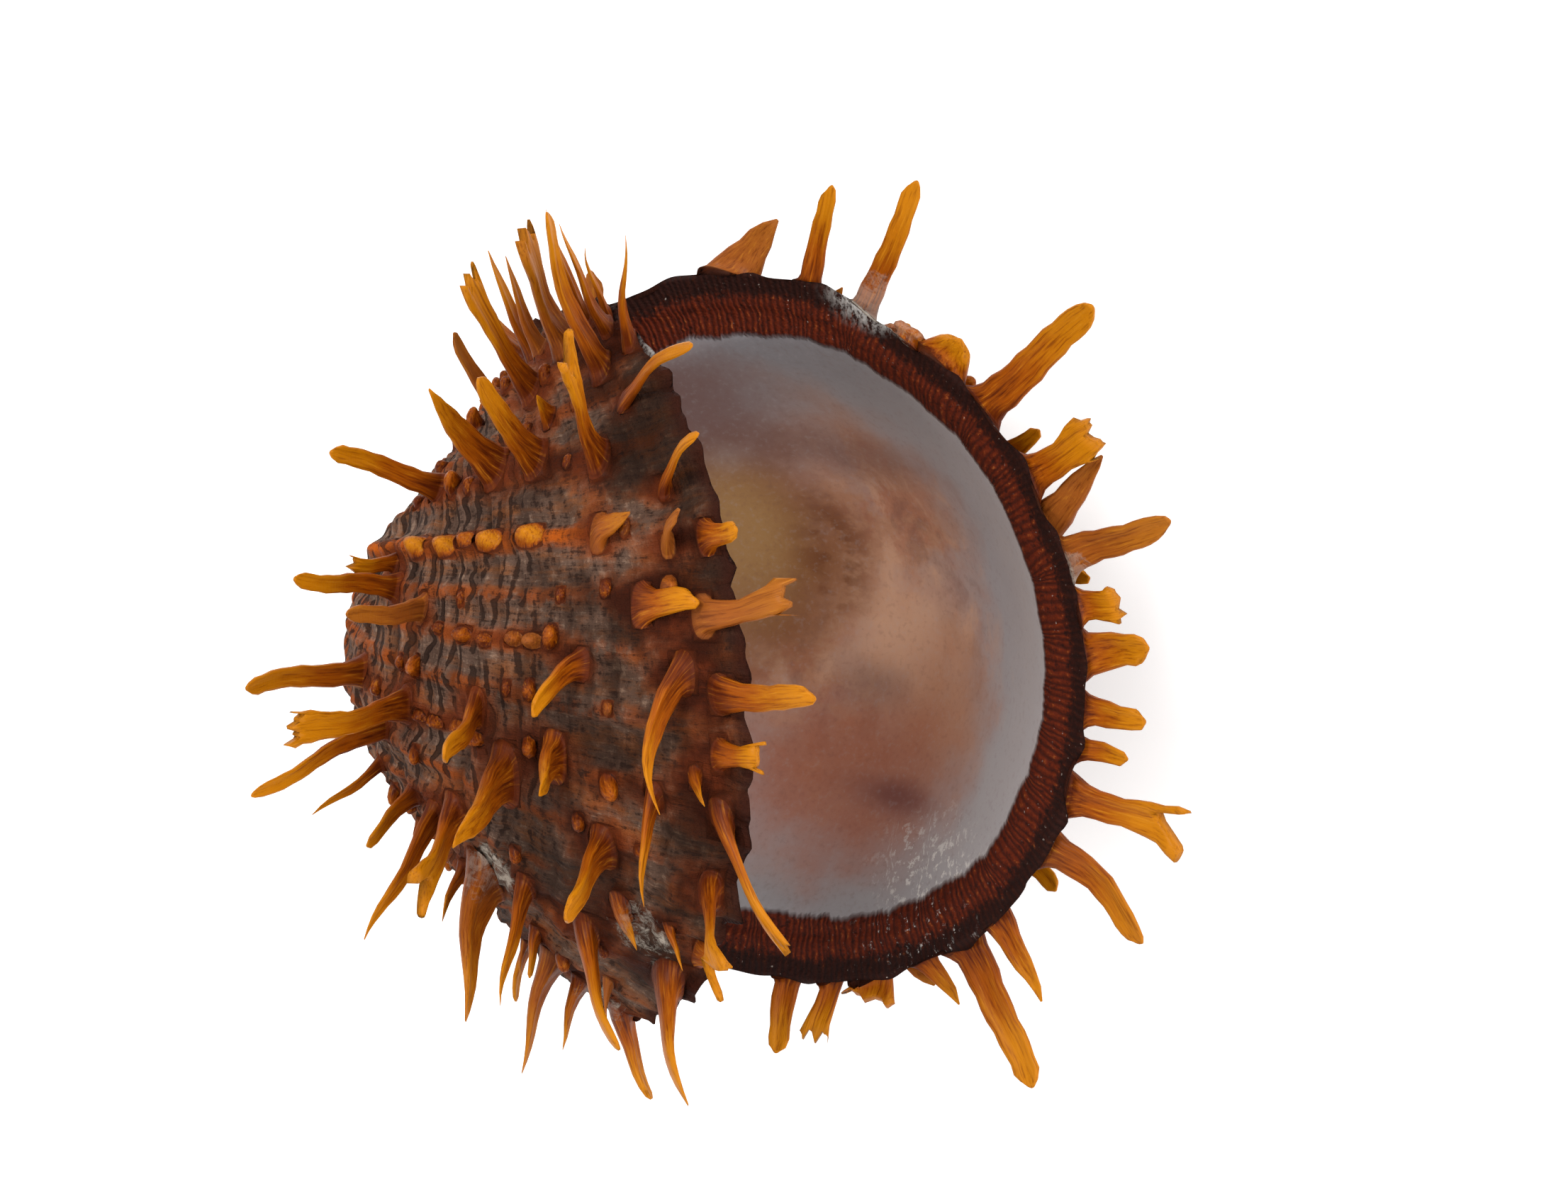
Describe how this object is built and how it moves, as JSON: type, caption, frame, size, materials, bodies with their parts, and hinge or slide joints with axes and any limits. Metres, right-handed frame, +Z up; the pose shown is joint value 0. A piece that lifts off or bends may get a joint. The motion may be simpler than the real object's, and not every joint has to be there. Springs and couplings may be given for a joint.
{
  "type": "thorny oyster shell",
  "caption": "Open pair of thorny oyster valves: spiny rust-brown outside, porcelain-smooth bowl inside, joined at the hinge and resting on a flat scar.",
  "frame": {"origin": "middle of the flat attachment scar under the lower valve, on the surface it rests on", "axes": "+Z up; the hinge line runs along Y; +X points from the hinge towards the open side"},
  "size_m": [0.1136, 0.114, 0.0969],
  "materials": {
    "lower_shell": "Smooth grey-white and peach porcelain bowl, crenulated red-brown margin band, rough rust-brown outside with orange spines.",
    "upper_shell": "Rough radial riblets and growth lines in grey-brown and rust, orange spines, porcelain bowl inside.",
    "ligament": "Dry, dark brown, finely layered."
  },
  "bodies": {
    "root": {"lower_valve": "lower_shell", "upper_valve": "upper_shell", "ligament": "ligament"}
  },
  "joints": []
}
